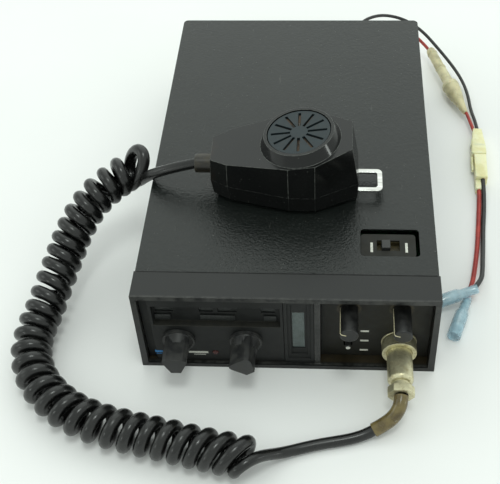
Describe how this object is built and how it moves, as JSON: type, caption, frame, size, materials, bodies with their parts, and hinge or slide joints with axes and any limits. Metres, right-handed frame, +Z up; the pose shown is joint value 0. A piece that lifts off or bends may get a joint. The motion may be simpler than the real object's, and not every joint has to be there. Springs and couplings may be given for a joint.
{
  "type": "two way radio",
  "caption": "Mobile two way radio: low metal-cased transceiver with rotary selectors, slim meter, hand microphone on a curly cord and a fused power lead.",
  "frame": {"origin": "centre of the case's base face", "axes": "+X right, +Y from the front panel to the rear, +Z up"},
  "size_m": [0.2712, 0.352, 0.1004],
  "materials": {
    "bezel_plastic": "black moulding, edges worn",
    "panel_plastic": "matt black",
    "clear_window": "clear",
    "label_grey": "pale print",
    "lamp_red": "translucent red",
    "knob_plastic": "satin black",
    "bright_steel": "turned",
    "switch_body": "moulded",
    "nickel": "aged nickel",
    "cover_paint": "textured dark grey",
    "chassis_metal": "plain",
    "cooler_black": "black anodised",
    "board": "green lacquer",
    "can_metal": "drawn",
    "speaker_parts": "dark frame",
    "mic_plastic": "glossy black",
    "grille_grey": "slate",
    "steel_loop": "polished",
    "cord_black": "satin",
    "sleeve_brown": "translucent brown",
    "wire_black": "pvc",
    "wire_red": "pvc",
    "fuse_ivory": "translucent ivory",
    "connector_ivory": "ivory nylon",
    "terminal_blue": "pale blue",
    "grommet_rubber": "black"
  },
  "bodies": {
    "case": {"front_bezel": "bezel_plastic", "selector_panel": "panel_plastic", "window_lenses": "clear_window", "strip_label_bars": "label_grey", "transmit_lamp": "lamp_red", "meter_frame": "panel_plastic", "meter_glass": "clear_window", "meter_movement": "switch_body", "control_panel": "panel_plastic", "rotary_switches": "switch_body", "control_pots": "switch_body", "mode_switch_body": "switch_body", "mic_socket": "nickel", "plug_barrel": "nickel", "plug_clamp": "nickel", "top_cover": "cover_paint", "bottom_cover": "cover_paint", "chassis": "chassis_metal", "cover_screws": "bright_steel", "heat_sink": "cooler_black", "antenna_socket": "nickel", "speaker_jack": "nickel", "power_grommet": "grommet_rubber", "main_board": "board", "filter_cans": "can_metal", "loudspeaker": "speaker_parts", "slide_switch_plate": "panel_plastic", "slide_switch_body": "switch_body", "cord_coil": "cord_black", "cord_plug_end": "cord_black", "cord_sleeve": "sleeve_brown", "power_lead_black": "wire_black", "power_lead_red": "wire_red", "power_lead_fused": "wire_red", "power_tail_black": "wire_black", "power_tail_red": "wire_red", "fuse_holder": "fuse_ivory", "connector_upper": "connector_ivory", "connector_lower": "connector_ivory", "bullet_terminals": "terminal_blue"},
    "knob_left_body": {"selector_knob_left": "knob_plastic", "selector_shaft_left": "bright_steel"},
    "knob_right_body": {"selector_knob_right": "knob_plastic", "selector_shaft_right": "bright_steel"},
    "volume_body": {"volume_knob": "knob_plastic", "volume_shaft": "bright_steel"},
    "squelch_body": {"squelch_knob": "knob_plastic", "squelch_shaft": "bright_steel"},
    "lever_body": {"mode_lever": "knob_plastic"},
    "slide_body": {"slide_switch_button": "knob_plastic"},
    "pointer_body": {"meter_pointer": "label_grey"},
    "ring_body": {"plug_ring": "nickel"},
    "microphone": {"mic_front_shell": "mic_plastic", "mic_back_shell": "mic_plastic", "mic_grille": "grille_grey", "mic_capsule": "can_metal", "mic_boot": "cord_black", "mic_hanger_loop": "steel_loop", "cord_mic_end": "cord_black"},
    "talk_body": {"ptt_button": "mic_plastic"}
  },
  "joints": [
    {"name": "selector_left_turn", "type": "hinge", "parent": "case", "child": "knob_left_body", "pos_m": [-0.0567, -0.1227, 0.0218], "axis": [0, 1, 0], "range_deg": [-150, 150]},
    {"name": "selector_right_turn", "type": "hinge", "parent": "case", "child": "knob_right_body", "pos_m": [-0.0211, -0.1227, 0.0218], "axis": [0, 1, 0], "range_deg": [-150, 150]},
    {"name": "volume_turn", "type": "hinge", "parent": "case", "child": "volume_body", "pos_m": [0.0324, -0.1175, 0.0432], "axis": [0, 1, 0], "range_deg": [-60, 210]},
    {"name": "squelch_turn", "type": "hinge", "parent": "case", "child": "squelch_body", "pos_m": [0.0592, -0.1175, 0.0432], "axis": [0, 1, 0], "range_deg": [-60, 210]},
    {"name": "mode_rock", "type": "hinge", "parent": "case", "child": "lever_body", "pos_m": [0.0324, -0.1035, 0.016], "axis": [1, 0, 0], "range_deg": [-14, 14]},
    {"name": "slide_switch_move", "type": "slide", "parent": "case", "child": "slide_body", "axis": [1, 0, 0], "range_m": [0, 0.0036]},
    {"name": "meter_swing", "type": "hinge", "parent": "case", "child": "pointer_body", "pos_m": [0.0064, -0.0973, 0.02875], "axis": [1, 0, 0], "range_deg": [-48, 0], "stiffness_Nm_per_rad": 0.0002},
    {"name": "coupling_ring_turn", "type": "hinge", "parent": "case", "child": "ring_body", "pos_m": [0.0592, -0.118, 0.0159], "axis": [0, 1, 0], "continuous": true},
    {"name": "microphone_lift", "type": "slide", "parent": "case", "child": "microphone", "axis": [0, 0, 1], "range_m": [0, 0.06]},
    {"name": "talk_press", "type": "slide", "parent": "microphone", "child": "talk_body", "axis": [0.2439, -0.9698, 0], "range_m": [0, 0.0016], "stiffness_N_per_m": 300}
  ]
}
